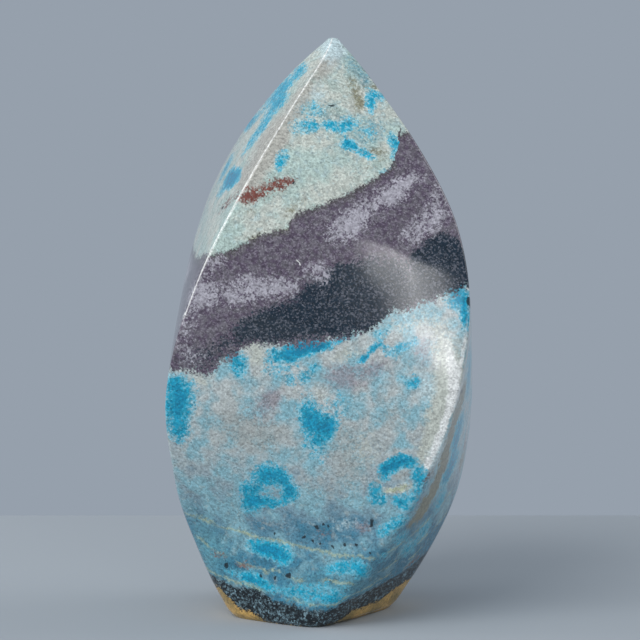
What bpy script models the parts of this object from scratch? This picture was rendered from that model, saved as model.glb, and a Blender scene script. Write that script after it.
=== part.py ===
"""A flame carving: one polished stone with a flat foot, four ridges that climb in a spiral, and a blunt point.

Metres, +Z up. The foot stands on z = 0, and the origin is the middle of the stone's box there.
The front of the stone faces -Y.

Every level of the stone is a four-cornered section. Its corners are the ridges: the front ridge and the
left ridge are given by their azimuths, and the other two stand opposite them. Its sides bow out a little.
"""

from math import cos, radians, sin

import bmesh
import bpy
import numpy as np
from mathutils import Vector

MM = 0.001

# Driving dimensions
HEIGHT = 150 * MM
DEPTH_RATIO = 0.88          # the section's depth over its width
SIDE_BOW = 0.03             # how far a side bows out, over its own length
FOOT_BEVEL = 1.0 * MM       # height of the bevel around the foot, and how far it goes in
POINT_CAP = 0.4 * MM        # height of the rounded end above the last level

# Levels of the stone, from the foot to the point:
# height and reach of the ridges in mm, azimuths of the front and left ridges in degrees
LEVELS = np.array((
    (0, 25.5, -87, -162),
    (10, 31.0, -74, -161),
    (22, 36.0, -62, -161),
    (40, 43.5, -53, -152),
    (60, 49.5, -48, -143.5),
    (82, 49.5, -43, -135),
    (104, 42.0, -39, -128.5),
    (126, 26.2, -35.5, -120.5),
    (140, 12.5, -31, -112.5),
    (150, 1.2, -20, -101),
))

# How the middle of the section drifts to the right: height and drift in mm
DRIFT = np.array((
    (0, 0),
    (40, 3),
    (62, 3),
    (104, 4),
    (140, 4.5),
    (150, 5.6),
))

# How far the rounding of each ridge cuts back its sides, at the foot and higher up
FOOT_ROUND = (5.5 * MM, 8 * MM, 4 * MM, 9 * MM)     # front, right, back, left
RIDGE_ROUND = 0.8 * MM
FOOT_ROUND_HEIGHT = 40 * MM      # where the softer rounding of the foot has faded out
ROUND_SHARE = 0.25               # a rounding takes no more of a side than this

# Fineness of the mesh
RING_COUNT = 74
SIDE_POINTS = 6                  # points inside a side
CORNER_POINTS = 4                # points on a rounded corner, with its two ends

# Finish
STONE_COLOR = (0.32, 0.42, 0.47, 1.0)
STONE_ROUGHNESS = 0.2


def smooth_curve(x, xs, ys):
    """The value at x of a smooth curve through the points (xs, ys)."""
    slopes = np.gradient(ys, xs)
    start = int(np.clip(np.searchsorted(xs, x, side="right") - 1, 0, len(xs) - 2))
    span = xs[start + 1] - xs[start]
    part = (x - xs[start]) / span
    return float(
        ys[start] * (1 + 2 * part) * (1 - part) ** 2
        + slopes[start] * span * part * (1 - part) ** 2
        + ys[start + 1] * part ** 2 * (3 - 2 * part)
        + slopes[start + 1] * span * part ** 2 * (part - 1)
    )


def corners(height):
    """The section's corners, counterclockwise from above: the front, right, back and left ridges."""
    heights = LEVELS[:, 0] * MM
    reach = smooth_curve(height, heights, LEVELS[:, 1] * MM)
    front = radians(smooth_curve(height, heights, LEVELS[:, 2]))
    left = radians(smooth_curve(height, heights, LEVELS[:, 3]))
    axis = Vector((smooth_curve(height, DRIFT[:, 0] * MM, DRIFT[:, 1] * MM), 0))
    arm_front = reach * Vector((cos(front), DEPTH_RATIO * sin(front)))
    arm_left = reach * Vector((cos(left), DEPTH_RATIO * sin(left)))
    return [axis + arm_front, axis - arm_left, axis - arm_front, axis + arm_left]


def side_point(start, end, part):
    """A point on the bowed side from one corner to the next."""
    along = end - start
    outward = Vector((along.y, -along.x))
    return start + along * part + outward * (4 * SIDE_BOW * part * (1 - part))


def corner_rounding(ridge, height):
    """How far the rounding of a ridge cuts back its sides at a height."""
    rise = min(height / FOOT_ROUND_HEIGHT, 1.0)
    fade = rise * rise * (3 - 2 * rise)
    return FOOT_ROUND[ridge] + (RIDGE_ROUND - FOOT_ROUND[ridge]) * fade


def section(height):
    """The stone's outline at a height, counterclockwise from above, with its corners rounded."""
    ends = corners(height)
    sides = [(ends[ridge], ends[(ridge + 1) % 4]) for ridge in range(4)]
    lengths = [(end - start).length for start, end in sides]
    rounds = [corner_rounding(ridge, height) for ridge in range(4)]
    first_cut = [min(rounds[ridge] / lengths[ridge], ROUND_SHARE) for ridge in range(4)]
    last_cut = [min(rounds[(ridge + 1) % 4] / lengths[ridge], ROUND_SHARE) for ridge in range(4)]
    points = []
    for ridge in range(4):
        before = side_point(*sides[ridge - 1], 1 - last_cut[ridge - 1])
        after = side_point(*sides[ridge], first_cut[ridge])
        for step in range(CORNER_POINTS):
            part = step / (CORNER_POINTS - 1)
            points.append(
                before * (1 - part) ** 2 + ends[ridge] * (2 * part * (1 - part)) + after * part ** 2
            )
        straight = 1 - first_cut[ridge] - last_cut[ridge]
        for step in range(1, SIDE_POINTS + 1):
            part = first_cut[ridge] + straight * step / (SIDE_POINTS + 1)
            points.append(side_point(*sides[ridge], part))
    return points


def foot_outline():
    """The outline of the flat foot: the lowest section, drawn in by the bevel."""
    outline = section(0)
    middle = sum(outline, Vector((0, 0))) / len(outline)
    return [point - (point - middle).normalized() * FOOT_BEVEL for point in outline]


def stone_rings():
    """The rings of the stone from the foot to the last level, each with its height."""
    rings = [(0.0, foot_outline())]
    top = HEIGHT - POINT_CAP
    for step in range(RING_COUNT):
        height = FOOT_BEVEL + (top - FOOT_BEVEL) * step / (RING_COUNT - 1)
        rings.append((height, section(height)))
    return rings


def box_middle(rings):
    """The middle of the stone's box, seen from above."""
    xs = [point.x for _, ring in rings for point in ring]
    ys = [point.y for _, ring in rings for point in ring]
    return Vector(((min(xs) + max(xs)) / 2, (min(ys) + max(ys)) / 2))


def stone_mesh():
    """The closed mesh of the stone, with its box centred on the origin."""
    rings = stone_rings()
    middle = box_middle(rings)
    bm = bmesh.new()
    loops = []
    for height, ring in rings:
        loops.append([bm.verts.new((*(point - middle), height)) for point in ring])
    for low, high in zip(loops, loops[1:]):
        for i in range(len(low)):
            following = (i + 1) % len(low)
            bm.faces.new((low[i], low[following], high[following], high[i]))
    bm.faces.new(list(reversed(loops[0])))
    top_middle = sum((vert.co for vert in loops[-1]), Vector()) / len(loops[-1])
    point = bm.verts.new((top_middle.x, top_middle.y, HEIGHT))
    for i, vert in enumerate(loops[-1]):
        bm.faces.new((vert, loops[-1][(i + 1) % len(loops[-1])], point))
    mesh = bpy.data.meshes.new("flame_carving")
    bm.to_mesh(mesh)
    bm.free()
    mesh.shade_smooth()
    mesh.set_sharp_from_angle(angle=radians(25))
    return mesh


def stone_material():
    """Polished pale blue-grey stone."""
    material = bpy.data.materials.new("polished_stone")
    material.use_nodes = True
    surface = material.node_tree.nodes["Principled BSDF"]
    surface.inputs["Base Color"].default_value = STONE_COLOR
    surface.inputs["Roughness"].default_value = STONE_ROUGHNESS
    surface.inputs["Metallic"].default_value = 0.0
    return material


def build():
    """Remove what the scene holds, and make the stone."""
    for old in list(bpy.data.objects):
        bpy.data.objects.remove(old, do_unlink=True)
    stone = bpy.data.objects.new("flame_carving", stone_mesh())
    stone.data.materials.append(stone_material())
    bpy.context.scene.collection.objects.link(stone)


build()
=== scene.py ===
"""The flame carving's looks: polished layered stone, on a pale floor in soft studio light."""

from typing import NamedTuple

import bpy
import numpy as np
from mathutils import Matrix, Vector, noise
from mathutils.bvhtree import BVHTree

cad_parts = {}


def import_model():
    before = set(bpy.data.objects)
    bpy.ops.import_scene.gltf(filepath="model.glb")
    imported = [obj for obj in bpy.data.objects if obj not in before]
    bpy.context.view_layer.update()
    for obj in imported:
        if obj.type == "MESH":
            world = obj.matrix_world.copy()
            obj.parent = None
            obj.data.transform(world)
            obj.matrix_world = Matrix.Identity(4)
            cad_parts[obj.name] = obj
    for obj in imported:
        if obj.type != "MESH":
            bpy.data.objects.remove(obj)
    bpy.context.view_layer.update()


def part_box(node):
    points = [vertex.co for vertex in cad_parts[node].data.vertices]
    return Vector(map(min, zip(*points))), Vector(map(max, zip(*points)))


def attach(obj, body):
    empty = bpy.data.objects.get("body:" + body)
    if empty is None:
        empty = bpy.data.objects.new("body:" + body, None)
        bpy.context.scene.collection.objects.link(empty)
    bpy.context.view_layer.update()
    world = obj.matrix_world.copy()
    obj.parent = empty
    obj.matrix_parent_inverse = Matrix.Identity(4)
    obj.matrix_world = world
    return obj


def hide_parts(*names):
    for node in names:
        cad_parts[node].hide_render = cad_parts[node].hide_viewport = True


MM = 0.001
NODE = "flame_carving"

# The stone's form, as the solid has it
HEIGHT = 150 * MM
DEPTH_RATIO = 0.88
SIDE_BOW = 0.03
FOOT_BEVEL = 1.0 * MM
POINT_CAP = 0.4 * MM
LEVELS = np.array((     # height and ridge reach in mm, azimuths of the front and left ridges in degrees
    (0, 25.5, -87, -162),
    (10, 31.0, -74, -161),
    (22, 36.0, -62, -161),
    (40, 43.5, -53, -152),
    (60, 49.5, -48, -143.5),
    (82, 49.5, -43, -135),
    (104, 42.0, -39, -128.5),
    (126, 26.2, -35.5, -120.5),
    (140, 12.5, -31, -112.5),
    (150, 1.2, -20, -101),
))
DRIFT = np.array((      # height, and drift of the section's middle to the right, in mm
    (0, 0),
    (40, 3),
    (62, 3),
    (104, 4),
    (140, 4.5),
    (150, 5.6),
))
FOOT_ROUND = (5.5 * MM, 8 * MM, 4 * MM, 9 * MM)     # front, right, back and left ridges
RIDGE_ROUND = 0.8 * MM
FOOT_ROUND_HEIGHT = 40 * MM
ROUND_SHARE = 0.25

# How much further the front ridge's rounding reaches into the front face: height and reach in mm
FRONT_ROLL = ((30, 0), (45, 2.4), (72, 2.4), (92, 0))

# Fineness of the visual mesh
RING_COUNT = 342
SIDE_POINTS = 52
CORNER_POINTS = 11              # with its two ends
FOOT_LEVELS = (0, 0.4, 0.7, 0.9, 1.0, 1.15, 1.4, 1.8)       # heights of the rings at the bevel, in mm
EVEN_START = 2.4 * MM           # where the evenly spaced rings start
POINT_ANGLES = (25, 50, 72)     # the rings of the rounded point, in degrees up a quarter circle
SHARP_ANGLE = 32                # edges that turn further than this, in degrees, are shaded sharp

# Softness of the bevel's upper edge: place across and softness, in mm
BEVEL_SOFTNESS = ((-22, 1.6), (-8, 0.3), (12, 0.2), (20, 1.2))

# Hand polish: slow waves in the surface
WAVE_LENGTH = 17 * MM
WAVE_HEIGHT = 0.10 * MM
STILL_FOOT = 4 * MM             # lengths at the foot and at the point that the waves keep off
STILL_POINT = 2 * MM

# The photograph's view of the stone
PHOTO_SIZE = 640
FOCAL_PIXELS = 3078
CAMERA_DISTANCE = 0.8
CAMERA_ELEVATION = 7.07
CAMERA_TARGET = Vector((-0.78 * MM, 0, 76.9 * MM))
SENSOR_WIDTH = 36
CLIP_START = 0.01
FAR_OUTSIDE = 0.2       # where rays from around the stone start, in metres from its middle
LIGHT_TARGET = Vector((0, 0, 80 * MM))

# White along the front, right, back and left ridges, as height in mm and strength: worn edges, with
# a painted highlight on the front ridge from 38 to 95 mm and on the left ridge from 84 mm up, where
# they catch the light; and a painted highlight along the bevel's upper edge, as place across in mm
# and strength
WEAR_AND_HIGHLIGHT_NAME = "wear_and_highlight"
RIDGE_WEAR_AND_HIGHLIGHT = (
    ((38, 0.2), (50, 0.8), (68, 1.0), (80, 0.5), (95, 0), (144, 0), (150, 0.5)),
    ((60, 0), (70, 0.3), (144, 0.3), (150, 0.5)),
    ((60, 0), (80, 0.5), (150, 0.5)),
    ((76, 0), (84, 0.9), (150, 0.9)),
)
BEVEL_HIGHLIGHT = ((-24, 0.6), (-18, 0), (5, 0), (9, 0.6), (24, 0.6))
BEVEL_HIGHLIGHT_REACH = 0.35 * MM    # how far the bevel's painted highlight reaches up and down
RIDGE_WEAR_AND_HIGHLIGHT_POWER = 3            # how closely the ridges' whitening, worn edges and painted highlight, keeps to their middle


def smooth_curve(x, xs, ys):
    """Values at x of a smooth curve through the points (xs, ys)."""
    slopes = np.gradient(ys, xs)
    start = np.clip(np.searchsorted(xs, x, side="right") - 1, 0, len(xs) - 2)
    span = xs[start + 1] - xs[start]
    part = (x - xs[start]) / span
    return (
        ys[start] * (1 + 2 * part) * (1 - part) ** 2
        + slopes[start] * span * part * (1 - part) ** 2
        + ys[start + 1] * part ** 2 * (3 - 2 * part)
        + slopes[start + 1] * span * part ** 2 * (part - 1)
    )


def side_point(start, end, part):
    """Points on the bowed sides from the corners start to the corners end."""
    along = end - start
    outward = np.stack((along[:, 1], -along[:, 0]), axis=1)
    part = np.asarray(part).reshape(-1, 1)
    return start + along * part + outward * (4 * SIDE_BOW * part * (1 - part))


def corners(heights):
    """The sections' corners, counterclockwise from above: the front, right, back and left ridges."""
    levels = LEVELS[:, 0] * MM
    reach = smooth_curve(heights, levels, LEVELS[:, 1] * MM)[:, None]
    front = np.radians(smooth_curve(heights, levels, LEVELS[:, 2]))
    left = np.radians(smooth_curve(heights, levels, LEVELS[:, 3]))
    drift = smooth_curve(heights, DRIFT[:, 0] * MM, DRIFT[:, 1] * MM)
    axis = np.stack((drift, 0 * drift), axis=1)
    arm_front = reach * np.stack((np.cos(front), DEPTH_RATIO * np.sin(front)), axis=1)
    arm_left = reach * np.stack((np.cos(left), DEPTH_RATIO * np.sin(left)), axis=1)
    return [axis + arm_front, axis - arm_left, axis - arm_front, axis + arm_left]


def corner_cuts(heights, lengths):
    """The shares of each side that the roundings of its first and of its last corner take."""
    rise = np.clip(heights / FOOT_ROUND_HEIGHT, 0, 1)
    fade = rise * rise * (3 - 2 * rise)
    rounds = [foot + (RIDGE_ROUND - foot) * fade for foot in FOOT_ROUND]
    first_cut = [np.minimum(rounds[i] / lengths[i], ROUND_SHARE) for i in range(4)]
    last_cut = [np.minimum(rounds[(i + 1) % 4] / lengths[i], ROUND_SHARE) for i in range(4)]
    last_cut[3] = last_cut[3] + np.interp(heights / MM, *np.transpose(FRONT_ROLL)) * MM / lengths[3]
    return first_cut, last_cut


def sections(heights):
    """The stone's outlines at the heights, as an array of rings by points by x and y."""
    ends = corners(heights)
    sides = [(ends[ridge], ends[(ridge + 1) % 4]) for ridge in range(4)]
    lengths = [np.linalg.norm(end - start, axis=1) for start, end in sides]
    first_cut, last_cut = corner_cuts(heights, lengths)
    points = []
    for ridge in range(4):
        before = side_point(*sides[ridge - 1], 1 - last_cut[ridge - 1])
        after = side_point(*sides[ridge], first_cut[ridge])
        for step in range(CORNER_POINTS):
            part = step / (CORNER_POINTS - 1)
            points.append(
                before * (1 - part) ** 2 + ends[ridge] * (2 * part * (1 - part)) + after * part ** 2
            )
        straight = 1 - first_cut[ridge] - last_cut[ridge]
        for step in range(1, SIDE_POINTS + 1):
            part = first_cut[ridge] + straight * step / (SIDE_POINTS + 1)
            points.append(side_point(*sides[ridge], part))
    return np.stack(points, axis=1)


def stone_rings():
    """Rings of points up the stone, from the foot to just below the point."""
    top = HEIGHT - POINT_CAP
    levels = np.concatenate((np.array(FOOT_LEVELS) * MM, np.linspace(EVEN_START, top, RING_COUNT)))
    flat = sections(levels)
    middles = flat.mean(axis=1, keepdims=True)
    inward = (middles - flat) / np.linalg.norm(middles - flat, axis=2, keepdims=True)
    below = FOOT_BEVEL - levels
    softness = np.interp(flat[:, :, 0] / MM, *np.transpose(BEVEL_SOFTNESS)) * MM
    inset = (below[:, None] + np.hypot(below[:, None], softness)) / 2
    flat = flat + inward * inset[:, :, None]
    rings = [np.column_stack((ring, np.full(len(ring), level))) for ring, level in zip(flat, levels)]
    for angle in np.radians(POINT_ANGLES):
        smaller = middles[-1] + (flat[-1] - middles[-1]) * np.cos(angle)
        rings.append(np.column_stack((smaller, np.full(len(smaller), top + POINT_CAP * np.sin(angle)))))
    return np.array(rings)


def polish_waves(points, normals):
    """The points moved a little in or out along their normals, in slow waves. The ends stay."""
    moved = points.copy()
    for i, (point, normal) in enumerate(zip(points, normals)):
        if STILL_FOOT <= point[2] <= HEIGHT - STILL_POINT:
            wave = noise.noise(Vector(point / WAVE_LENGTH))
            moved[i] = point + normal * (WAVE_HEIGHT * wave)
    return moved


def edge_wear_and_highlight(points):
    """How white each point is, from 0 to 1, as worn edges and painted highlight: stretches of the ridges,
    and of the bevel's upper edge.
    """
    corner = np.sin(np.pi * np.arange(CORNER_POINTS) / (CORNER_POINTS - 1)) ** RIDGE_WEAR_AND_HIGHLIGHT_POWER
    height = points[:, 2] / MM
    wear_and_highlight = np.zeros(len(points))
    # worn edges, and painted highlight on the front and left ridges
    for ridge, marks in enumerate(RIDGE_WEAR_AND_HIGHLIGHT):
        ring = np.zeros(4 * (CORNER_POINTS + SIDE_POINTS))
        start = ridge * (CORNER_POINTS + SIDE_POINTS)
        ring[start:start + CORNER_POINTS] = corner
        on_ridge = np.append(np.resize(ring, len(points) - 1), 1.0)
        wear_and_highlight += on_ridge * np.interp(height, *np.transpose(marks))
    # painted highlight along the bevel's upper edge
    bevel = np.clip(1 - np.abs(points[:, 2] - FOOT_BEVEL) / BEVEL_HIGHLIGHT_REACH, 0, 1)
    bevel *= np.interp(points[:, 0] / MM, *np.transpose(BEVEL_HIGHLIGHT))
    return np.maximum(wear_and_highlight, bevel).astype(np.float32)


def stone_faces(ring_count, ring_size):
    """The faces between the rings, the foot, and the fan up to the tip, which is the last point."""
    around = np.arange(ring_size)
    following = (around + 1) % ring_size
    faces = []
    for ring in range(ring_count - 1):
        start = ring * ring_size
        above = start + ring_size
        quads = np.stack((start + around, start + following, above + following, above + around), axis=1)
        faces += [tuple(quad) for quad in quads.tolist()]
    faces.append(tuple(range(ring_size - 1, -1, -1)))
    last = (ring_count - 1) * ring_size
    tip = ring_count * ring_size
    faces += [(last + i, last + (i + 1) % ring_size, tip) for i in range(ring_size)]
    return faces


def vectors(items, name):
    """The vectors that a mesh's items hold under a name, as an array."""
    values = np.zeros(len(items) * 3, np.float32)
    items.foreach_get(name, values)
    return values.reshape(-1, 3).astype(float)


def stone_mesh(low, high):
    """The fine mesh of the stone, inside the box from low to high."""
    rings = stone_rings()
    ring_count, ring_size = rings.shape[:2]
    flat = rings.reshape(-1, 3)
    flat[:, :2] -= (flat[:, :2].min(axis=0) + flat[:, :2].max(axis=0)) / 2
    tip = np.append(flat[-ring_size:, :2].mean(axis=0), HEIGHT)
    mesh = bpy.data.meshes.new("flame_stone")
    mesh.from_pydata(np.vstack((flat, tip)).tolist(), [], stone_faces(ring_count, ring_size))
    points = vectors(mesh.vertices, "co")
    moved = polish_waves(points, vectors(mesh.vertex_normals, "vector"))
    moved = np.clip(moved, np.array(low), np.array(high))
    mesh.vertices.foreach_set("co", moved.astype(np.float32).ravel())
    mesh.update()
    # white on the ridges and the bevel's edge: worn edges and painted highlight
    wear_and_highlight = mesh.attributes.new(WEAR_AND_HIGHLIGHT_NAME, "FLOAT", "POINT")
    wear_and_highlight.data.foreach_set("value", edge_wear_and_highlight(points))
    mesh.shade_smooth()
    mesh.set_sharp_from_angle(angle=np.radians(SHARP_ANGLE))
    return mesh


# Camera

def make_camera():
    """The camera at the photograph's viewing angle. Returns its object."""
    data = bpy.data.cameras.new("camera")
    data.sensor_width = SENSOR_WIDTH
    data.lens = FOCAL_PIXELS / PHOTO_SIZE * SENSOR_WIDTH
    data.clip_start = CLIP_START
    camera = bpy.data.objects.new("camera", data)
    elevation = np.radians(CAMERA_ELEVATION)
    back = Vector((0, -np.cos(elevation), np.sin(elevation)))
    camera.location = CAMERA_TARGET + back * CAMERA_DISTANCE
    camera.rotation_euler = (-back).to_track_quat("-Z", "Y").to_euler()
    bpy.context.scene.collection.objects.link(camera)
    bpy.context.scene.camera = camera
    bpy.context.view_layer.update()
    return camera


class Placer:
    """Finds the places on the stone that the photograph's pixels show."""

    def __init__(self, camera, mesh):
        self.origin = camera.matrix_world.translation.copy()
        turn = camera.matrix_world.to_3x3()
        self.right = turn @ Vector((1, 0, 0))
        self.up = turn @ Vector((0, 1, 0))
        self.back = turn @ Vector((0, 0, 1))
        self.tree = BVHTree.FromPolygons(
            [vert.co.copy() for vert in mesh.vertices],
            [tuple(face.vertices) for face in mesh.polygons],
        )

    def at_pixel(self, x, y):
        """The stone's point under a pixel, or the one nearest to its ray."""
        half = PHOTO_SIZE / 2
        ray = (self.right * (x - half) + self.up * (half - y) - self.back * FOCAL_PIXELS).normalized()
        hit = self.tree.ray_cast(self.origin, ray)[0]
        if hit is None:
            beside = self.origin + ray * (CAMERA_TARGET - self.origin).dot(ray)
            hit = self.tree.find_nearest(beside)[0]
        return hit

    def at_azimuth(self, azimuth, height):
        """The stone's point at an azimuth in degrees and a height in mm, seen from its middle."""
        turn = np.radians(azimuth)
        outward = Vector((np.cos(turn), np.sin(turn), 0))
        start = Vector((0, 0, height * MM)) + outward * FAR_OUTSIDE
        return self.tree.ray_cast(start, -outward)[0]


# Colours, as 8-bit sRGB

def linear(red, green, blue):
    """A node colour from 8-bit sRGB."""
    values = np.array((red, green, blue)) / 255
    low = values / 12.92
    high = ((values + 0.055) / 1.055) ** 2.4
    return (*np.where(values <= 0.04045, low, high).tolist(), 1.0)


CREAM = linear(190, 194, 184)
GREEN_CREAM = linear(172, 190, 182)
PALE_CYAN = linear(150, 184, 190)
PINK_BEIGE = linear(172, 170, 161)
TEAL = linear(96, 150, 164)
GREY_OLIVE = linear(136, 134, 112)
GREY_BEIGE = linear(164, 168, 164)
GREY_PINK = linear(148, 140, 146)
MIDDLE = linear(184, 190, 188)
MIDDLE_CYAN = linear(140, 182, 192)
TURQUOISE = linear(62, 122, 146)
LOW_GREY = linear(102, 146, 160)
LOW_TEAL = linear(54, 112, 134)
HALO = linear(122, 192, 208)
BLUE = linear(0, 158, 188)
DEEP_BLUE = linear(0, 130, 166)
RUST = linear(116, 58, 48)
RUST_BROWN = linear(128, 96, 84)
MAUVE = linear(86, 74, 90)
MAUVE_GREY = linear(102, 96, 104)
CLOUD = linear(172, 168, 176)
NAVY = linear(20, 38, 52)
OLIVE_EDGE = linear(76, 74, 66)
GOLD = linear(206, 166, 96)
DARK_GOLD = linear(156, 132, 80)
YELLOW = linear(170, 180, 148)
BLACK = linear(20, 28, 34)
ASH = linear(124, 152, 162)
WHITE = linear(236, 236, 232)
ICE = linear(190, 208, 210)


# Patches that the photograph shows: pixel x and y, half width and half height in mm, tilt in
# degrees, and strength

BLUE_PATCHES = (
    # left face, near the point
    (301, 70, 1.8, 1.2, 48, 0.8),
    (288, 82, 3.2, 1.2, 48, 0.8),
    (274, 98, 3.4, 1.6, 50, 1.0),
    (280, 103, 2.2, 1.1, 50, 1.0),
    (264, 124, 3.4, 0.9, 56, 1.1),
    (249, 144, 2.2, 0.6, 56, 0.9),
    (232, 178, 1.9, 2.2, 60, 2.8),
    (222, 190, 1.8, 0.7, 50, 0.7),
    # front face, near the point
    (281, 160, 1.1, 1.8, -10, 1.0),
    (303, 126, 2.4, 1.5, 0, 0.6),
    (313, 127, 1.1, 1.1, 0, 0.7),
    (328, 125, 1.4, 1.0, 0, 1.0),
    (338, 128, 2.0, 1.4, 0, 0.6),
    (350, 124, 1.8, 1.4, 0, 0.9),
    (369, 133, 1.6, 1.6, 0, 0.5),
    (348, 145, 1.6, 1.3, -30, 0.9),
    (357, 151, 2.2, 0.9, -30, 0.9),
    (368, 155, 1.6, 0.8, -25, 0.7),
    (314, 109, 2.2, 1.6, 0, 0.45),
    (371, 101, 0.9, 2.2, 5, 1.2),
    (379, 96, 1.1, 1.0, -40, 0.7),
    (392, 139, 1.3, 1.2, 0, 1.1),
    (397, 149, 0.9, 1.5, 0, 1.0),
    (388, 172, 1.7, 0.9, 15, 1.0),
    (397, 161, 1.3, 1.6, 0, 0.6),
    # under the dark band
    (303, 350, 3.2, 1.4, 14, 2.5),
    (278, 354, 2.2, 1.2, 0, 0.9),
    (322, 347, 1.8, 0.8, 10, 1.1),
    (280, 367, 3.4, 2.6, 0, 0.5),
    (238, 362, 1.8, 1.9, 0, 1.2),
    (241, 375, 1.1, 1.6, 0, 0.5),
    (313, 369, 1.5, 0.9, 10, 0.8),
    (304, 378, 1.2, 1.1, 0, 0.8),
    (291, 381, 1.0, 1.0, 0, 0.7),
    (340, 340, 2.0, 0.7, 15, 0.7),
    (363, 359, 1.2, 0.7, 40, 1.1),
    (371, 351, 2.6, 0.7, 40, 1.0),
    (380, 347, 1.4, 0.6, 0, 0.8),
    (391, 354, 1.6, 1.0, 0, 0.8),
    (401, 346, 1.3, 1.0, 0, 1.0),
    (412, 343, 1.2, 0.8, 0, 0.6),
    (414, 383, 1.3, 1.3, 0, 1.0),
    (404, 378, 3.0, 2.6, 0, 0.2),
    (382, 333, 2.0, 1.0, 30, 0.65),
    (457, 298, 2.0, 2.2, 0, 1.2),
    (465, 309, 1.1, 2.6, 0, 1.0),
    (466, 322, 0.9, 2.2, 0, 0.8),
    # left side, middle
    (181, 395, 3.0, 3.2, 0, 1.3),
    (176, 415, 2.2, 4.0, 0, 1.2),
    (182, 434, 1.6, 2.4, 0, 0.7),
    (173, 382, 1.6, 1.4, 0, 0.9),
    # the large patch in the middle
    (318, 428, 2.8, 2.2, -20, 1.5),
    (330, 425, 1.5, 1.8, 0, 1.0),
    (311, 416, 1.6, 2.6, -20, 1.0),
    (306, 402, 1.6, 2.4, 0, 0.5),
    (313, 442, 1.8, 1.1, 0, 0.8),
    (292, 415, 2.8, 3.0, 0, 0.15),
    (320, 453, 2.2, 2.2, 0, 0.45),
    (337, 407, 2.8, 3.0, 0, 0.4),
    # the ring at the left
    (260, 478, 2.4, 2.0, 40, 0.8),
    (249, 492, 1.6, 1.8, 0, 1.3),
    (251, 506, 1.8, 1.8, -20, 1.0),
    (272, 474, 3.0, 1.8, -10, 1.2),
    (287, 484, 2.4, 1.6, -50, 1.1),
    (289, 495, 1.6, 1.4, 0, 1.1),
    (262, 502, 2.6, 1.2, 0, 1.1),
    (275, 502, 2.2, 1.0, 0, 0.8),
    (266, 489, 1.8, 1.6, 0, 0.4),
    # the arc at the right
    (386, 470, 1.2, 1.8, -20, 1.2),
    (394, 464, 2.0, 1.2, 30, 1.3),
    (405, 461, 2.0, 1.2, 0, 1.4),
    (416, 469, 1.4, 2.0, 30, 0.75),
    (422, 482, 1.6, 2.0, 0, 1.1),
    (376, 494, 1.4, 1.9, -10, 1.1),
    (383, 500, 1.2, 1.0, 0, 0.7),
    (403, 503, 2.2, 1.4, -20, 1.1),
    (412, 494, 1.4, 1.2, 0, 0.8),
    (395, 524, 2.8, 1.2, 30, 1.0),
    (383, 530, 1.4, 1.0, 0, 0.6),
    # low on the front
    (263, 548, 2.6, 1.4, -12, 1.8),
    (279, 552, 2.6, 1.4, -5, 1.6),
    (284, 561, 1.6, 1.2, 0, 0.9),
    (249, 577, 1.7, 1.8, 20, 1.0),
    (257, 583, 2.4, 1.4, -10, 0.9),
    (236, 574, 2.4, 1.0, -20, 0.5),
    (334, 569, 2.2, 1.2, 20, 0.9),
    (348, 566, 2.2, 1.4, 20, 0.8),
    (361, 571, 1.6, 1.4, 0, 1.2),
    (318, 594, 5.4, 1.9, 5, 0.75),
    (334, 600, 2.2, 1.2, 20, 0.7),
    (292, 590, 2.6, 1.2, -10, 0.8),
    (268, 586, 2.2, 1.0, -20, 0.7),
    (312, 616.5, 0.9, 0.7, 0, 1.5),
    # right face
    (469, 375, 0.7, 5.0, 0, 1.2),
    (459, 428, 1.0, 2.6, -14, 1.6),
    (455, 444, 1.0, 2.0, -16, 1.3),
    (452, 463, 1.1, 2.8, -20, 1.8),
    (446, 478, 0.9, 1.8, -22, 1.2),
    (440, 500, 1.0, 2.4, -25, 1.0),
    (424, 530, 1.2, 2.6, -32, 0.9),
    (408, 548, 1.6, 2.0, -40, 0.9),
    (401, 538, 1.8, 1.4, 40, 0.8),
    (385, 556, 2.0, 1.0, 45, 0.45),
)
ICE_PATCHES = (
    (334, 44, 3.2, 3.2, 0, 1.1),
    (330, 64, 2.4, 4.0, 0, 0.3),
    (346, 524, 3.0, 1.4, 0, 0.5),
    (316, 96, 2.4, 2.0, 0, 0.6),
    (427, 388, 2.0, 3.4, -10, 0.9),
    (436, 452, 1.4, 3.6, -24, 1.0),
)
TURQUOISE_PATCHES = (
    (352, 64, 2.6, 4.0, 40, 0.55),
    (368, 84, 1.8, 3.2, 42, 0.45),
    (318, 112, 6.0, 3.5, 0, 0.45),
    (350, 140, 5.0, 4.0, -20, 0.45),
    (374, 126, 3.0, 4.0, 0, 0.45),
    (215, 560, 6.0, 6.0, -40, 0.8),
    (200, 520, 3.0, 6.0, 20, 0.5),
    (372, 562, 4.0, 6.0, -40, 0.3),
    (330, 585, 9.0, 4.0, 0, 0.8),
)
LOW_TEAL_PATCHES = (
    (228, 568, 3.0, 2.4, -30, 0.8),
    (243, 568, 2.6, 1.8, -20, 0.9),
    (326, 583, 4.4, 1.6, 5, 0.8),
)
PINK_PATCHES = (
    (310, 84, 2.0, 5.6, -32, 0.6),
    (283, 124, 2.4, 7.0, -32, 1.0),
    (262, 158, 2.6, 6.0, -30, 1.0),
    (330, 60, 2.0, 3.6, -20, 0.9),
    (246, 182, 3.0, 2.6, -30, 0.8),
    (405, 112, 1.6, 2.2, 30, 0.6),
)
GREY_PINK_PATCHES = (
    (273, 397, 2.6, 1.8, 20, 0.9),
    (264, 414, 3.4, 3.0, 0, 0.6),
    (352, 381, 5.0, 2.6, 10, 0.7),
    (378, 366, 3.4, 1.8, 10, 0.7),
    (338, 372, 2.6, 2.6, 0, 0.6),
    (361, 527, 2.0, 1.4, 0, 0.7),
    (424, 350, 3.0, 3.6, 0, 0.7),
)
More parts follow.
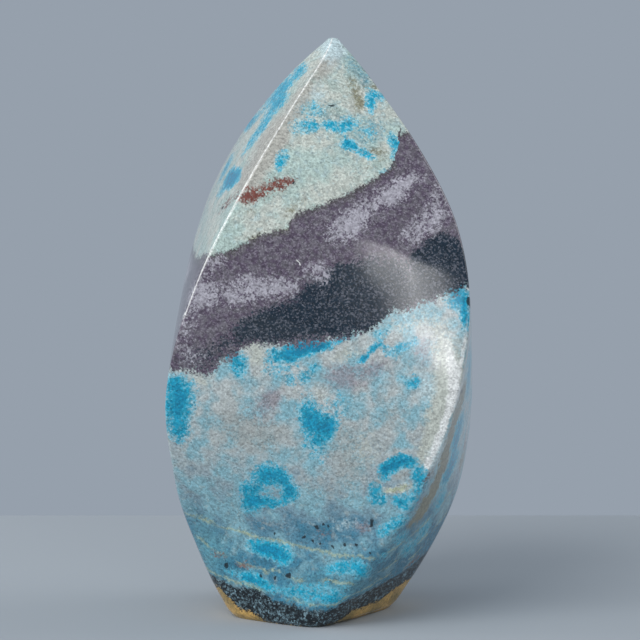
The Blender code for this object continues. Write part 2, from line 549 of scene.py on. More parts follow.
GREY_BEIGE_PATCHES = (
    (262, 436, 6.0, 3.6, 0, 0.9),
    (228, 420, 4.6, 5.0, 0, 0.6),
    (345, 440, 4.0, 6.0, 0, 0.7),
    (352, 478, 5.0, 5.0, 0, 0.6),
    (310, 487, 4.0, 3.6, 0, 0.4),
    (402, 474, 2.0, 1.5, 0, 0.9),
    (268, 524, 7.0, 1.6, -6, 0.35),
    (268, 490, 1.2, 1.0, 0, 0.3),
    (390, 420, 4.0, 4.0, 0, 0.5),
    (256, 360, 2.4, 3.0, 0, 0.4),
)
OLIVE_PATCHES = (
    (356, 90, 1.8, 3.4, 10, 0.8),
    (373, 88, 1.2, 1.0, -30, 0.8),
    (361, 104, 1.2, 1.6, 0, 0.7),
    (334, 112, 2.6, 1.4, 0, 0.4),
    (378, 152, 2.0, 1.6, -20, 0.7),
    (370, 164, 2.4, 1.0, 10, 0.4),
    (252, 211, 1.4, 0.8, 0, 0.5),
    (256, 237, 2.2, 0.7, 25, 0.9),
    (284, 229, 2.6, 0.7, 12, 1.0),
    (294, 209, 3.2, 1.0, 35, 0.6),
    (463, 396, 0.6, 2.8, -6, 1.5),
    (456, 418, 0.7, 4.4, -14, 1.3),
    (446, 452, 0.9, 5.4, -18, 1.7),
    (435, 487, 0.9, 5.4, -24, 1.7),
    (420, 512, 0.9, 4.4, -32, 1.4),
    (462, 460, 0.5, 3.6, -12, 0.9),
    (404, 552, 3.0, 1.0, 40, 0.5),
)
CREAM_AND_HIGHLIGHT_PATCHES = (
    (252, 130, 1.2, 5.0, -34, 0.9),
    (212, 222, 2.4, 4.0, -16, 0.7),
    (300, 212, 8.0, 2.0, 20, 0.7),
    (345, 182, 6.0, 2.0, 22, 0.8),
    (255, 350, 2.0, 2.2, 0, 0.9),
    (261, 364, 1.8, 2.2, 0, 0.7),
    (345, 354, 3.6, 1.6, 14, 0.7),
    (390, 328, 3.6, 1.6, 15, 0.5),
    (425, 322, 4.0, 2.6, 15, 0.5),
    # These four, beside the front ridge, are a painted highlight: the lit stretch there, in cream
    (449, 362, 3.0, 6.0, 12, 1.2),
    (446, 392, 2.6, 5.0, -14, 1.3),
    (436, 425, 2.2, 5.0, -20, 1.2),
    (426, 456, 1.8, 4.0, -24, 1.0),
    (320, 395, 2.8, 2.8, 0, 0.4),
    (395, 490, 4.4, 0.9, 14, 1.1),
    (380, 484, 1.0, 1.4, 0, 0.7),
    (368, 448, 4.0, 3.0, 0, 0.5),
    (196, 380, 3.4, 1.2, 0, 0.7),
)
YELLOW_PATCHES = (
    (203, 519, 3.0, 0.7, -25, 0.5),
    (248, 534, 2.6, 0.7, -10, 0.5),
    (270, 571, 3.0, 0.7, -6, 0.5),
    (396, 489, 3.0, 0.6, 14, 0.8),
)
RUST_PATCHES = (
    (248, 196, 2.3, 1.3, 10, 1.3),
    (262, 192, 2.0, 1.0, 25, 0.8),
    (277, 184, 2.2, 1.1, 15, 0.9),
    (289, 183, 1.8, 0.9, 0, 0.7),
    (226, 206, 1.8, 0.7, 35, 0.7),
)
# A painted highlight: white in a strip beside the front ridge, down the stretch where it catches the light
RIDGE_HIGHLIGHT_PATCHES = (
    (448, 352, 1.2, 4.0, 12, 0.7),
    (453, 374, 1.3, 3.4, 6, 1.2),
    (454, 392, 1.2, 3.0, -10, 1.3),
    (449, 410, 0.9, 3.4, -17, 1.2),
    (441, 431, 0.8, 3.4, -21, 1.1),
    (433, 452, 0.7, 3.2, -24, 1.0),
    (426, 468, 0.6, 2.2, -27, 0.9),
)
BROWN_PATCHES = (
    (268, 190, 5.2, 1.5, 22, 0.8),
    (228, 201, 3.0, 0.7, 38, 0.7),
    (245, 565, 1.6, 0.7, -15, 1.0),
    (218, 554, 1.4, 0.7, -20, 0.7),
    (322, 534, 2.8, 2.0, -20, 0.35),
    (428, 480, 0.5, 2.2, -20, 0.8),
    (465, 443, 0.5, 1.8, -5, 0.9),
    (412, 562, 2.2, 0.5, 40, 0.8),
)
# Small white spots
WHITE_SPOT_PATCHES = (
    (313, 622.5, 0.4, 0.3, 0, 0.9),
    (298, 262.5, 0.16, 0.8, 39, 1.6),
    (184, 317, 0.4, 0.7, -20, 1.3),
    (168, 452, 0.4, 0.5, 0, 1.4),
    (467, 290, 0.4, 0.5, 0, 1.2),
)
SPECK_PATCHES = (
    (470, 303, 0.5, 1.2, 0, 1.5),
    (224.5, 566, 0.35, 0.65, 0, 1.6),
    (260.5, 576.5, 0.4, 0.5, 0, 1.6),
    (275, 577, 0.35, 0.3, 0, 1.4),
    (288, 576, 0.5, 0.5, 0, 1.6),
    (274, 534, 0.35, 0.45, 30, 1.4),
    (303, 536, 0.35, 0.3, 0, 1.4),
    (318, 527, 0.6, 0.35, -30, 1.4),
    (314, 540, 0.4, 0.35, 0, 1.4),
    (325, 524, 0.3, 0.3, 0, 1.4),
    (330, 525, 0.3, 0.3, 0, 1.4),
    (323, 544, 0.3, 0.3, 0, 1.4),
    (332, 546, 0.3, 0.4, 0, 1.4),
    (371, 523, 0.4, 0.9, -25, 1.5),
    (343, 544, 0.35, 0.35, 0, 1.3),
    (356, 544, 0.35, 0.35, 0, 1.3),
    (370, 552, 0.35, 0.3, 0, 1.3),
    (333, 106, 0.6, 0.25, 0, 1.3),
    (223, 207, 0.35, 0.3, 0, 1.4),
    (295, 185, 0.3, 0.25, 0, 1.4),
    (462, 391, 0.35, 0.6, 0, 1.4),
)

# Patches inside the dark band, given in the same way
CLOUD_PATCHES = (
    (344, 229, 3.6, 2.6, 25, 1.0),
    (356, 219, 2.8, 2.4, 40, 0.9),
    (378, 202, 4.0, 2.2, 25, 1.0),
    (398, 191, 3.0, 2.2, 25, 1.1),
    (412, 178, 2.4, 1.4, 20, 0.8),
    (437, 212, 2.6, 2.4, 0, 1.0),
    (424, 227, 2.6, 2.2, 0, 1.0),
    (438, 190, 1.8, 2.0, 0, 0.6),
    (410, 238, 2.2, 1.8, 0, 0.6),
    (316, 267, 2.8, 1.4, 0, 0.8),
    (324, 275, 1.8, 1.8, 0, 0.7),
    (302, 280, 2.6, 1.4, 20, 0.35),
    (264, 289, 5.2, 2.4, 8, 0.9),
    (285, 290, 2.8, 1.8, 10, 0.5),
    (225, 296, 5.0, 2.2, 5, 0.8),
    (246, 277, 2.2, 1.4, 0, 0.5),
    (224, 262, 1.3, 1.6, 0, 0.6),
    (213, 261, 1.6, 2.2, -20, 0.7),
    (200, 293, 2.4, 3.4, -20, 1.0),
    (187, 330, 1.8, 5.0, -10, 0.7),
    (197, 357, 3.0, 1.8, 0, 0.55),
)
NAVY_PATCHES = (
    (341, 298, 7.0, 5.6, 10, 1.2),
    (341, 278, 2.8, 2.0, 10, 0.9),
    (306, 318, 8.0, 4.6, 10, 1.0),
    (368, 312, 6.0, 4.6, 20, 1.0),
    (267, 326, 5.4, 3.0, 5, 0.8),
    (372, 282, 4.0, 5.0, 0, 0.8),
    (450, 264, 5.0, 4.6, -30, 1.1),
    (438, 263, 4.2, 3.4, -30, 1.1),
    (466, 276, 3.0, 4.0, 0, 0.9),
    (402, 285, 5.0, 5.4, 0, 0.9),
    (187, 358, 5.0, 2.2, 0, 0.35),
    (444, 243, 2.4, 2.0, -40, 0.8),
    (212, 356, 4.6, 3.0, 0, 0.45),
    (240, 336, 4.0, 2.0, 20, 0.6),
    (432, 290, 4.6, 2.4, 10, 0.8),
)

# Patches on the sides that the photograph hides: azimuth in degrees, height, half width and half
# height in mm, tilt in degrees, and strength
HIDDEN_BLUE = (
    (20, 58, 4.4, 3.0, 20, 1.6),
    (38, 48, 3.4, 4.2, -20, 1.7),
    (60, 62, 2.9, 2.2, 0, 1.3),
    (72, 34, 5.5, 2.2, 10, 1.6),
    (95, 66, 5.2, 2.2, -10, 1.7),
    (108, 48, 4.2, 3.8, 30, 1.8),
    (128, 58, 2.6, 3.5, 0, 1.4),
    (140, 36, 5.7, 2.0, -10, 1.6),
    (165, 62, 4.4, 2.0, 10, 1.4),
    (178, 44, 3.6, 4.0, -20, 1.7),
    (196, 54, 3.1, 2.5, 0, 1.4),
    (120, 22, 6.5, 2.0, 0, 1.3),
    (60, 20, 6.5, 1.8, 0, 1.3),
    (30, 132, 2.6, 1.8, 30, 1.4),
    (75, 126, 4.2, 2.0, -20, 1.4),
    (110, 120, 3.1, 2.2, 20, 1.3),
    (150, 128, 3.9, 1.8, 0, 1.4),
    (165, 116, 2.9, 2.2, -30, 1.2),
)
HIDDEN_CLOUDS = (
    (10, 100, 6.0, 2.2, 20, 1.3),
    (45, 96, 7.5, 2.4, -10, 1.3),
    (80, 102, 7.5, 2.0, 10, 1.2),
    (115, 92, 9.0, 2.4, -15, 1.3),
    (150, 96, 6.6, 2.2, 15, 1.3),
    (185, 90, 6.0, 2.6, 0, 1.2),
)
HIDDEN_NAVY = (
    (0, 86, 6.0, 4.0, 0, 1.0),
    (40, 82, 7.0, 3.4, 0, 1.1),
    (85, 84, 8.0, 3.6, 0, 1.1),
    (125, 78, 7.0, 3.8, 0, 1.1),
    (170, 78, 6.0, 3.6, 0, 1.0),
)
HIDDEN_CREAM = (
    (55, 112, 7.0, 2.4, -10, 0.9),
    (100, 108, 7.0, 2.2, 5, 0.8),
    (145, 106, 6.0, 2.4, 10, 0.8),
    (85, 70, 5.0, 2.0, 0, 0.7),
    (150, 68, 5.0, 2.2, 0, 0.7),
    (30, 70, 4.0, 2.0, 0, 0.7),
)

# Edges of the layers as pixels, from left to right
BAND_TOP = (
    (194, 250), (211, 253), (230, 251), (246, 243), (259, 235), (275, 229), (288, 225), (293, 217),
    (311, 208), (325, 202), (342, 195), (359, 187), (379, 175), (390, 166), (397, 157), (401, 145),
    (402, 132), (400.5, 121),
)
BAND_BOTTOM = (
    (171, 370), (182, 371), (198, 373), (213, 374), (220, 363), (232, 359), (244, 347), (267, 345),
    (293, 346), (325, 342), (350, 337), (367, 332), (378, 325), (391, 312), (409, 311), (422, 304),
    (436, 300), (447, 293), (457, 292), (466, 289),
)
BLACK_TOP = (
    (218, 579), (226, 582), (234, 586), (245, 587), (257, 588), (267, 594), (276, 600), (297, 605),
    (317, 611), (331, 611), (343, 602), (366, 592), (389, 580), (409, 567),
)
BLACK_BOTTOM = (
    (220, 588), (226, 597), (233, 603), (244, 609), (255, 615), (266, 621), (276, 632), (300, 636),
    (326, 634), (338, 622), (346, 616), (358, 609), (380, 599.5), (396, 588),
)

# Thin yellow veins as pixels, from left to right
VEINS = (
    ((187, 513), (202, 519), (218, 525), (248, 534), (270, 540), (288, 544), (310, 549), (340, 554)),
    ((194, 541), (215, 550), (235, 560), (256, 568), (272, 573), (290, 578), (310, 581), (332, 582)),
    ((214, 574), (235, 581), (255, 587), (275, 595), (298, 601), (318, 605), (332, 606), (345, 598)),
)

# How much the layers rise for each step to the back
BAND_TILT = 0.05
FOOT_TILT = 0.40        # the black layer at the foot
GOLD_TILT = 0.22        # the gold layer under it

# How far grains shake a layer's edge, in mm
EDGE_ROUGHNESS = 0.9
BAND_BOTTOM_ROUGHNESS = 1.6
VEIN_ROUGHNESS = 0.5

# Patches: half depth over the larger half size, and the field where clouding and graining are in full
PATCH_DEPTH = 3.0
PATCH_RIM = 0.25

# Grains, in mm, and how much lighter the lightest are than the darkest
LARGE_GRAIN = 0.55
SMALL_GRAIN = 0.36
TONE_STEP = 0.42
FINE_TONE_STEP = 0.42
SMALL_GRAIN_SHAKE = 0.8     # how much small grains shake edges, over large ones

# Waves that shake the edges of layers and patches: size and reach in mm, and shift
SLOW_WAVES = (5.0, 2.4, 11)
QUICK_WAVES = (1.3, 1.4, 23)
WAVE_DETAIL = 2.0

# Clouding of the stone: size in mm, detail and shift
MOTTLING = (1.6, 3.0, 37)
CLOUDING = (6.5, 3.0, 53)
CLOUDED_HEIGHT = 60.0       # how far in mm broad clouding moves the turn to turquoise stone

# How clouded and how grainy the edges of these patches are
BLUE_EDGES = (1.0, 0.25)
NAVY_EDGES = (0.5, 0.4)
CLOUD_EDGES = (1.2, 0.7)
BLUE_GRAINING = 0.35        # and how much more grainy the blue is than its halo
ASH_GRAINING = 0.5

# Steps from one colour to the next: where a field starts and ends the step, and the shares there
CREAM_STEP = (-0.10, 0.12)
CYAN_STEP = (0.0, 0.22, 0.0, 0.6)
MIDDLE_STEP = (-0.10, 0.10)
BOTTOM_STEP = (-0.02, 0.14)
TURQUOISE_STEP = (50.0, 14.0)       # heights in mm
UNDER_BAND_STEP = (-1.0, 1.0)       # mm under the edge, as for the other layers
FLECK_STEP = (0.02, 0.25, 0.0, 0.35)
HALO_STEP = (0.05, 0.5, 0.0, 0.65)
BLUE_STEP = (0.22, 1.0, 0.0, 0.95)
DEEP_BLUE_STEP = (0.9, 1.7, 0.0, 0.9)
VEIN_STEP = (0.7, 0.0, 0.0, 0.65)   # mm from the vein's middle
VEIN_BREAK_STEP = (-0.12, 0.06)
MAUVE_STEP = (-0.12, 0.12)
OLIVE_EDGE_STEP = (2.4, 0.4, 0.0, 0.6)
NAVY_STEP = (0.25, 0.65)
CLOUD_STEP = (0.30, 1.0, 0.0, 0.95)
PALE_GRAIN_STEP = (0.0, 0.5, 0.0, 0.22)
BAND_TOP_STEP = (-0.5, 0.5)
BAND_BOTTOM_STEP = (0.6, -0.6)
ASH_STEP = (-0.1, 0.5)
GOLD_STEP = (-0.12, 0.12)
FOOT_LAYER_STEP = (-0.3, 0.4)
# the white on the ridges and the bevel's edge: worn edges and painted highlight
WEAR_AND_HIGHLIGHT_STEP = (0.3, 0.9, 0.0, 0.7)
WEAR_AND_HIGHLIGHT_MOTTLING = 0.4

# Finish
QUARTZ_IOR = 1.54
PALE_ROUGHNESS = 0.15
BAND_ROUGHNESS = 0.09
CLOUDED_ROUGHNESS = 0.08    # how much broad clouding changes it
RELIEF_STRENGTH = 0.1
RELIEF_DEPTH = 0.05 * MM

# The range of the layers' edges in mm, across and up
CURVE_LEFT, CURVE_RIGHT = -45, 45
CURVE_LOW, CURVE_HIGH = -30, 190

# The room
BACKDROP = linear(150, 160, 172)
FLOOR_COLOR = linear(166, 172, 177)
FLOOR_ROUGHNESS = 0.85
FLOOR_SHINE = 0.15
FLOOR_REACH = 3         # how far the floor reaches to the front and to the sides, in metres
FLOOR_END = 0.134       # and to the back

# Softboxes: azimuth and elevation in degrees, distance, width and height in metres, brightness,
# and turn in degrees. Azimuth 0 is the camera's side, and 90 the stone's right.
SOFTBOXES = {
    "key": (13.9, 12.5, 1.2, 0.13, 0.62, 4.1, -14),
    "key_core": (11.6, 3.2, 1.15, 0.03, 0.20, 13.0, -15),
    "key_streak": (15.2, 17, 1.16, 0.02, 0.40, 4.5, -15),
    "fill": (-40, 38, 1.5, 1.0, 1.0, 5.1, 0),
    "left": (-92, 20, 1.4, 0.5, 0.9, 3.0, 0),
    "right": (102, 32, 1.5, 0.9, 0.9, 2.2, 0),
}


class Stain(NamedTuple):
    """A colour in patches with clouded and grainy edges. It fades in from low to high in their field."""

    color: tuple
    patches: tuple
    mottling: float
    graining: float
    low: float
    high: float
    share: float = 1.0
    hidden: tuple = ()


PINK_STAIN = Stain(PINK_BEIGE, PINK_PATCHES, 0.3, 0.2, 0.1, 0.8)
GROUND_STAINS = (
    Stain(TEAL, TURQUOISE_PATCHES, 0.3, 0.3, 0.1, 0.9),
    Stain(LOW_TEAL, LOW_TEAL_PATCHES, 0.4, 0.3, 0.1, 0.9),
    Stain(GREY_PINK, GREY_PINK_PATCHES, 0.6, 0.3, 0.1, 0.9, 0.8),
    Stain(GREY_BEIGE, GREY_BEIGE_PATCHES, 0.6, 0.3, 0.1, 0.9, 0.8),
    # cream stone, and a painted highlight in cream beside the front ridge
    Stain(CREAM, CREAM_AND_HIGHLIGHT_PATCHES, 0.6, 0.4, 0.1, 0.9, hidden=HIDDEN_CREAM),
    Stain(ICE, ICE_PATCHES, 0.3, 0.2, 0.1, 0.9),
    # painted highlight: white beside the front ridge
    Stain(WHITE, RIDGE_HIGHLIGHT_PATCHES, 0.1, 0.1, 0.1, 1.1, 0.9),
    Stain(GREY_OLIVE, OLIVE_PATCHES, 0.6, 0.4, 0.2, 0.9),
)
YELLOW_STAIN = Stain(YELLOW, YELLOW_PATCHES, 0.5, 0.4, 0.15, 0.8, 0.8)
RUST_STAINS = (
    Stain(RUST_BROWN, BROWN_PATCHES, 0.7, 0.6, 0.2, 0.9, 0.8),
    Stain(RUST, RUST_PATCHES, 0.8, 0.6, 0.12, 1.05, 0.95),
)
SPECK_STAINS = (
    Stain(BLACK, SPECK_PATCHES, 0.3, 0.2, 0.4, 0.8, 0.9),
    # small white spots
    Stain(WHITE, WHITE_SPOT_PATCHES, 0.2, 0.2, 0.4, 0.9, 0.85),
)


class Graph:
    """Adds shader nodes, each in one line."""

    def __init__(self, tree):
        self.tree = tree

    def node(self, kind, inputs, **settings):
        """A new node. Each input is a value or the output of another node."""
        node = self.tree.nodes.new(kind)
        for name, value in settings.items():
            setattr(node, name, value)
        for key, value in inputs.items():
            if isinstance(value, bpy.types.NodeSocket):
                self.tree.links.new(value, node.inputs[key])
            else:
                node.inputs[key].default_value = value
        return node

    def math(self, operation, *values):
        return self.node("ShaderNodeMath", dict(enumerate(values)), operation=operation).outputs[0]

    def vector(self, operation, *values):
        return self.node("ShaderNodeVectorMath", dict(enumerate(values)), operation=operation).outputs[0]

    def add_scaled(self, base, value, scale):
        """base + value x scale, for numbers."""
        return self.math("MULTIPLY_ADD", value, scale, base)

    def ramp(self, value, low, high, start=0.0, end=1.0):
        """A smooth step from start, where value is low, to end, where it is high."""
        inputs = {"Value": value, "From Min": low, "From Max": high, "To Min": start, "To Max": end}
        return self.node("ShaderNodeMapRange", inputs, interpolation_type="SMOOTHSTEP").outputs[0]

    def mix(self, part, first, second):
        """A colour between first and second."""
        node = self.node("ShaderNodeMix", {}, data_type="RGBA")
        for socket, value in ((node.inputs[0], part), (node.inputs[6], first), (node.inputs[7], second)):
            if isinstance(value, bpy.types.NodeSocket):
                self.tree.links.new(value, socket)
            else:
                socket.default_value = value
        return node.outputs[2]

    def noise(self, place, size, detail, shift):
        """Noise with features of a size in mm. The shift keeps it apart from the other noises."""
        moved = self.vector("ADD", place, (shift, shift, shift))
        inputs = {"Vector": moved, "Scale": 1 / size, "Detail": detail}
        return self.node("ShaderNodeTexNoise", inputs).outputs

    def centred_noise(self, place, size, detail, shift):
        """Noise from -0.5 to 0.5."""
        return self.math("SUBTRACT", self.noise(place, size, detail, shift)["Fac"], 0.5)

    def shaken(self, place, size, reach, shift):
        """The place moved by up to half of reach mm each way, in waves of a size in mm."""
        wave = self.vector("SUBTRACT", self.noise(place, size, WAVE_DETAIL, shift)["Color"], (0.5, 0.5, 0.5))
        return self.vector("MULTIPLY_ADD", wave, (reach, reach, reach), place)

    def grains(self, place, size):
        """Three random values from 0 to 1 for each grain of a size in mm."""
        cells = self.node("ShaderNodeTexVoronoi", {"Vector": place, "Scale": 1 / size})
        return self.node("ShaderNodeSeparateColor", {"Color": cells.outputs["Color"]}).outputs

    def patches(self, place, frames):
        """A field that is the strength in the middle of each patch and half of it at its edge."""
        field = 0.0
        for middle, turn, size, strength in frames:
            inputs = {"Vector": place, "Location": middle, "Rotation": turn, "Scale": size}
            local = self.node("ShaderNodeMapping", inputs, vector_type="TEXTURE").outputs[0]
            ball = self.node("ShaderNodeTexGradient", {"Vector": local}, gradient_type="SPHERICAL")
            field = self.math("MULTIPLY_ADD", ball.outputs["Fac"], strength, field)
        return field

    def curve(self, value, points):
        """A smooth curve over value, in mm, through points of x and y."""
        part = self.math("DIVIDE", self.math("SUBTRACT", value, CURVE_LEFT), CURVE_RIGHT - CURVE_LEFT)
        node = self.node("ShaderNodeFloatCurve", {"Value": part})
        ends = [(CURVE_LEFT, points[0][1]), *points, (CURVE_RIGHT, points[-1][1])]
        marks = [
            ((x - CURVE_LEFT) / (CURVE_RIGHT - CURVE_LEFT), (y - CURVE_LOW) / (CURVE_HIGH - CURVE_LOW))
            for x, y in ends
        ]
        line = node.mapping.curves[0]
        line.points[0].location = marks[0]
        line.points[1].location = marks[-1]
        for mark in marks[1:-1]:
            line.points.new(*mark)
        for point in line.points:
            point.handle_type = "AUTO_CLAMPED"
        node.mapping.update()
        return self.math("MULTIPLY_ADD", node.outputs[0], CURVE_HIGH - CURVE_LOW, CURVE_LOW)


class StoneShader:
    """The stone's colours, laid over one another from the pale stone to the specks."""

    def __init__(self, tree, placer):
        self.graph = graph = Graph(tree)
        self.placer = placer
        spot = graph.node("ShaderNodeTexCoord", {}).outputs["Object"]
        self.place = graph.vector("MULTIPLY", spot, (1 / MM, 1 / MM, 1 / MM))
        self.moved = graph.shaken(graph.shaken(self.place, *SLOW_WAVES), *QUICK_WAVES)
        large = graph.grains(self.place, LARGE_GRAIN)
        small = graph.grains(self.place, SMALL_GRAIN)
        self.tone = graph.math("SUBTRACT", large[0], 0.5)
        self.fine_tone = graph.math("SUBTRACT", small[0], 0.5)
        large_shake = graph.math("SUBTRACT", large[1], 0.5)
        small_shake = graph.math("SUBTRACT", small[1], 0.5)
        self.jitter = graph.add_scaled(large_shake, small_shake, SMALL_GRAIN_SHAKE)
        self.mottle = graph.centred_noise(self.place, *MOTTLING)
        self.cloudy = graph.centred_noise(self.place, *CLOUDING)
        split = graph.node("ShaderNodeSeparateXYZ", {"Vector": self.moved}).outputs
        self.across, self.back, self.height = split["X"], split["Y"], split["Z"]

    def field(self, patches, mottling, graining, hidden=()):
        """Where a kind of patch is, with clouded and grainy edges."""
        graph = self.graph
        frames = patch_frames(self.placer, patches) + hidden_frames(self.placer, hidden)
        total = graph.patches(self.moved, frames)
        near = graph.ramp(total, 0.0, PATCH_RIM)
        uneven = graph.add_scaled(graph.math("MULTIPLY", self.mottle, mottling), self.jitter, graining)
        return graph.add_scaled(total, uneven, near)

    def stained(self, color, stain):
        """The colour so far with a stain over it."""
        field = self.field(stain.patches, stain.mottling, stain.graining, stain.hidden)
        part = self.graph.ramp(field, stain.low, stain.high, 0.0, stain.share)
        return self.graph.mix(part, color, stain.color)

    def below(self, pixels, tilt, roughness=EDGE_ROUGHNESS):
        """How far in mm the place is under a layer's edge that runs through pixels of the photograph."""
        points = []
        for x, y in pixels:
            place = self.placer.at_pixel(x, y) / MM
            points.append((place.x, place.z - tilt * place.y))
        graph = self.graph
        level = graph.add_scaled(self.height, self.back, -tilt)
        under = graph.math("SUBTRACT", graph.curve(self.across, points), level)
        return graph.add_scaled(under, self.jitter, roughness)

    def vein(self, color, pixels):
        """A thin broken yellow line over the colour, through pixels of the photograph."""
        graph = self.graph
        off = graph.math("ABSOLUTE", self.below(pixels, FOOT_TILT, VEIN_ROUGHNESS))
        line = graph.ramp(off, *VEIN_STEP)
        broken = graph.math("MULTIPLY", line, graph.ramp(self.cloudy, *VEIN_BREAK_STEP))
        return graph.mix(broken, color, YELLOW)

    def pale_stone(self, under_band):
        """Quartz above and below the dark band."""
        graph = self.graph
        above = graph.mix(graph.ramp(self.cloudy, *CREAM_STEP), GREEN_CREAM, CREAM)
        above = graph.mix(graph.ramp(self.mottle, *CYAN_STEP), above, PALE_CYAN)
        above = self.stained(above, PINK_STAIN)
        low = graph.add_scaled(self.height, self.cloudy, CLOUDED_HEIGHT)
        middle = graph.mix(graph.ramp(self.cloudy, *MIDDLE_STEP), MIDDLE, MIDDLE_CYAN)
        bottom = graph.mix(graph.ramp(self.cloudy, *BOTTOM_STEP), TURQUOISE, LOW_GREY)
        beneath = graph.mix(graph.ramp(low, *TURQUOISE_STEP), middle, bottom)
        color = graph.mix(graph.ramp(under_band, *UNDER_BAND_STEP), above, beneath)
        color = graph.mix(graph.ramp(self.mottle, *FLECK_STEP), color, CREAM)
        for stain in GROUND_STAINS:
            color = self.stained(color, stain)
        return color

    def with_blue(self, color):
        """Blue grains: scattered with a pale halo at first, then close together."""
        graph = self.graph
        field = self.field(BLUE_PATCHES, *BLUE_EDGES, HIDDEN_BLUE)
        color = graph.mix(graph.ramp(field, *HALO_STEP), color, HALO)
        grainy = graph.add_scaled(field, self.jitter, BLUE_GRAINING)
        color = graph.mix(graph.ramp(grainy, *BLUE_STEP), color, BLUE)
        return graph.mix(graph.ramp(grainy, *DEEP_BLUE_STEP), color, DEEP_BLUE)

    def dark_band(self, under_top):
        """Mauve stone with an olive upper edge, navy parts, pale clouds and single pale grains."""
        graph = self.graph
        color = graph.mix(graph.ramp(self.mottle, *MAUVE_STEP), MAUVE, MAUVE_GREY)
        color = graph.mix(graph.ramp(under_top, *OLIVE_EDGE_STEP), color, OLIVE_EDGE)
        navy = self.field(NAVY_PATCHES, *NAVY_EDGES, HIDDEN_NAVY)
        color = graph.mix(graph.ramp(navy, *NAVY_STEP), color, NAVY)
        cloud = self.field(CLOUD_PATCHES, *CLOUD_EDGES, HIDDEN_CLOUDS)
        color = graph.mix(graph.ramp(cloud, *CLOUD_STEP), color, CLOUD)
        return graph.mix(graph.ramp(self.fine_tone, *PALE_GRAIN_STEP), color, CLOUD)

    def black_layer(self):
        """Black and ash grey grains."""
        graph = self.graph
        field = graph.add_scaled(self.mottle, self.jitter, ASH_GRAINING)
        return graph.mix(graph.ramp(field, *ASH_STEP), BLACK, ASH)

    def color(self):
        """The stone's colour. It also notes where the dark band is, for the roughness."""
        graph = self.graph
        under_top = self.below(BAND_TOP, BAND_TILT)
        under_bottom = self.below(BAND_BOTTOM, BAND_TILT, BAND_BOTTOM_ROUGHNESS)
        color = self.with_blue(self.pale_stone(under_bottom))
        color = self.stained(color, YELLOW_STAIN)
        for pixels in VEINS:
            color = self.vein(color, pixels)
        for stain in RUST_STAINS:
            color = self.stained(color, stain)
        inside = graph.ramp(under_top, *BAND_TOP_STEP)
        self.in_band = graph.math("MULTIPLY", inside, graph.ramp(under_bottom, *BAND_BOTTOM_STEP))
        color = graph.mix(self.in_band, color, self.dark_band(under_top))
        under_black = self.below(BLACK_TOP, FOOT_TILT)
        color = graph.mix(graph.ramp(under_black, *FOOT_LAYER_STEP), color, self.black_layer())
        gold = graph.mix(graph.ramp(self.cloudy, *GOLD_STEP), DARK_GOLD, GOLD)
        under_gold = self.below(BLACK_BOTTOM, GOLD_TILT)
        color = graph.mix(graph.ramp(under_gold, *FOOT_LAYER_STEP), color, gold)
        for stain in SPECK_STAINS:
            color = self.stained(color, stain)
        return self.worn_and_highlit_edges(color)

    def worn_and_highlit_edges(self, color):
        """Fine white along the ridges, as worn edges and a painted highlight, and grains a little lighter
        and darker than each other.
        """
        graph = self.graph
        # white on the ridges and the bevel's edge: worn edges and a painted highlight
        wear_and_highlight = graph.node("ShaderNodeAttribute", {}, attribute_name=WEAR_AND_HIGHLIGHT_NAME).outputs["Fac"]
        wear_and_highlight = graph.add_scaled(wear_and_highlight, self.mottle, WEAR_AND_HIGHLIGHT_MOTTLING)
        color = graph.mix(graph.ramp(wear_and_highlight, *WEAR_AND_HIGHLIGHT_STEP), color, WHITE)
        light = graph.math("MULTIPLY_ADD", self.tone, TONE_STEP, 1.0)
        light = graph.add_scaled(light, self.fine_tone, FINE_TONE_STEP)
        return graph.node("ShaderNodeHueSaturation", {"Color": color, "Value": light}).outputs[0]

    def roughness(self):
        """The dark band takes a higher polish than the pale stone."""
        rough = self.graph.ramp(self.in_band, 0.0, 1.0, PALE_ROUGHNESS, BAND_ROUGHNESS)
        return self.graph.add_scaled(rough, self.cloudy, CLOUDED_ROUGHNESS)

    def relief(self):
        """Grain boundaries that the polish has left a hair low."""
        inputs = {"Strength": RELIEF_STRENGTH, "Distance": RELIEF_DEPTH, "Height": self.tone}
        return self.graph.node("ShaderNodeBump", inputs).outputs[0]


def patch_frame(middle, axes, half_width, half_height, strength):
    """A patch's middle, turn, size and strength, in mm."""
    turn = Matrix(axes).transposed().to_euler()
    depth = PATCH_DEPTH * max(half_width, half_height)
    return middle / MM, tuple(turn), (2 * half_width, 2 * half_height, 2 * depth), strength


def patch_frames(placer, patches):
    """Where patches lie on the stone, for those that the photograph shows. They face the camera."""
    frames = []
    for x, y, half_width, half_height, tilt, strength in patches:
        turn = np.radians(tilt)
        along = placer.right * np.cos(turn) + placer.up * np.sin(turn)
        across = placer.up * np.cos(turn) - placer.right * np.sin(turn)
        axes = (along, across, placer.back)
        frames.append(patch_frame(placer.at_pixel(x, y), axes, half_width, half_height, strength))
    return frames


def hidden_frames(placer, patches):
    """Where patches lie on the sides that the photograph hides. They face away from the middle."""
    frames = []
    for azimuth, height, half_width, half_height, tilt, strength in patches:
        around, turn = np.radians((azimuth, tilt))
        outward = Vector((np.cos(around), np.sin(around), 0))
        sideways = Vector((-np.sin(around), np.cos(around), 0))
        along = sideways * np.cos(turn) + Vector((0, 0, np.sin(turn)))
        axes = (along, outward.cross(along), outward)
        middle = placer.at_azimuth(azimuth, height)
        frames.append(patch_frame(middle, axes, half_width, half_height, strength))
    return frames


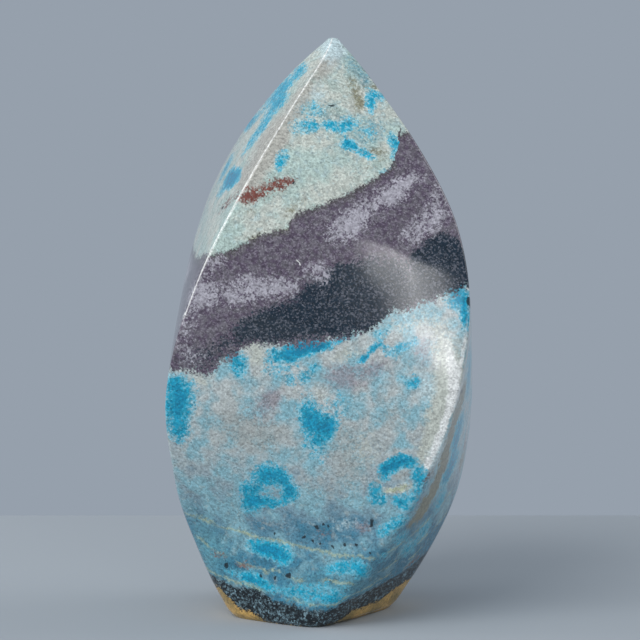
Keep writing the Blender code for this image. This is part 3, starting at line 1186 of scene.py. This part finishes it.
def stone_material(placer):
    """Polished stone: pale quartz with blue grains, and dark layers across it."""
    material = bpy.data.materials.new("trolleite_stone")
    material.use_nodes = True
    tree = material.node_tree
    shader = StoneShader(tree, placer)
    surface = tree.nodes["Principled BSDF"]
    surface.inputs["IOR"].default_value = QUARTZ_IOR
    tree.links.new(shader.color(), surface.inputs["Base Color"])
    tree.links.new(shader.roughness(), surface.inputs["Roughness"])
    tree.links.new(shader.relief(), surface.inputs["Normal"])
    return material


def make_stone():
    """The carving, as one object."""
    low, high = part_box(NODE)
    stone = bpy.data.objects.new("stone", stone_mesh(low, high))
    bpy.context.scene.collection.objects.link(stone)
    return stone


def make_floor():
    """A plain pale floor that ends a little behind the stone."""
    mesh = bpy.data.meshes.new("floor")
    corners = [
        (-FLOOR_REACH, -FLOOR_REACH, 0),
        (FLOOR_REACH, -FLOOR_REACH, 0),
        (FLOOR_REACH, FLOOR_END, 0),
        (-FLOOR_REACH, FLOOR_END, 0),
    ]
    mesh.from_pydata(corners, [], [(0, 1, 2, 3)])
    floor = bpy.data.objects.new("floor", mesh)
    bpy.context.scene.collection.objects.link(floor)
    material = bpy.data.materials.new("floor_paint")
    material.use_nodes = True
    surface = material.node_tree.nodes["Principled BSDF"]
    surface.inputs["Base Color"].default_value = FLOOR_COLOR
    surface.inputs["Roughness"].default_value = FLOOR_ROUGHNESS
    surface.inputs["Specular IOR Level"].default_value = FLOOR_SHINE
    mesh.materials.append(material)


def add_softbox(name, azimuth, elevation, distance, width, height, brightness, turn):
    """A rectangular soft light that faces the stone."""
    around, rise = np.radians((azimuth, elevation))
    outward = Vector((np.sin(around) * np.cos(rise), -np.cos(around) * np.cos(rise), np.sin(rise)))
    data = bpy.data.lights.new(name, "AREA")
    data.shape = "RECTANGLE"
    data.size = width
    data.size_y = height
    data.energy = np.pi * brightness * width * height
    light = bpy.data.objects.new(name, data)
    place = Matrix.Translation(LIGHT_TARGET + outward * distance)
    facing = outward.to_track_quat("Z", "Y").to_matrix().to_4x4()
    light.matrix_world = place @ facing @ Matrix.Rotation(np.radians(turn), 4, "Z")
    bpy.context.scene.collection.objects.link(light)


def make_lights():
    """Soft studio light: a grey-blue room and softboxes."""
    scene = bpy.context.scene
    world = bpy.data.worlds.new("studio")
    world.use_nodes = True
    backdrop = world.node_tree.nodes["Background"]
    backdrop.inputs["Color"].default_value = BACKDROP
    backdrop.inputs["Strength"].default_value = 1.0
    scene.world = world
    for name, settings in SOFTBOXES.items():
        add_softbox(name, *settings)
    scene.view_settings.view_transform = "Standard"


def main():
    """Build the scene."""
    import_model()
    camera = make_camera()
    stone = make_stone()
    stone.data.materials.append(stone_material(Placer(camera, stone.data)))
    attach(stone, "root")
    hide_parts(NODE)
    make_floor()
    make_lights()


main()
